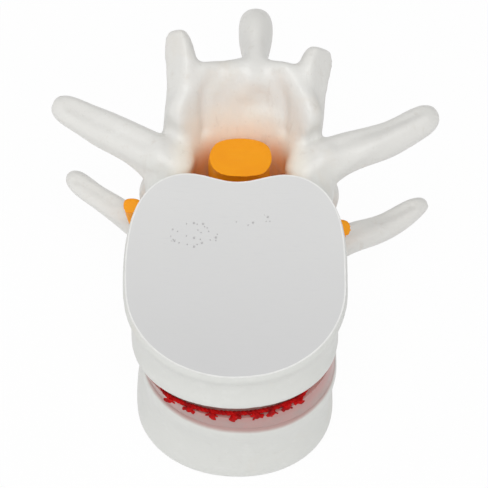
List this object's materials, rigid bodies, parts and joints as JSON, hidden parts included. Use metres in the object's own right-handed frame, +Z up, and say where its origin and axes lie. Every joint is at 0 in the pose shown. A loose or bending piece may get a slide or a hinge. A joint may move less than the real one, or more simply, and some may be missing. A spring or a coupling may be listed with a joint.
{
  "type": "lumbar spine anatomy model",
  "caption": "Two painted lumbar vertebrae joined by a soft disc, upside down with a sawn face on top, an oval dural sac, nerve roots and a knotted cord under the rim",
  "frame": {"origin": "the middle of the model's outline seen from above, on the surface it stands on", "axes": "+Z up as the model stands, with the sawn face on top; -Y is the front of the vertebral bodies, +Y the spinous processes; +X is the viewer's right seen from the front"},
  "size_m": [0.0998, 0.0998, 0.0804],
  "materials": {
    "bone": "white painted cast plastic, sanded grey on the sawn face",
    "disc": "soft translucent pink",
    "core": "soft red, slightly glossy",
    "nerve": "orange, sawn flat at the ends",
    "cord": "red twisted fibre"
  },
  "bodies": {
    "root": {"lower_vertebra": "bone", "upper_vertebra": "bone", "disc_annulus": "disc", "disc_nucleus": "core", "dural_sac": "nerve", "fibre_cord": "cord"}
  },
  "joints": []
}
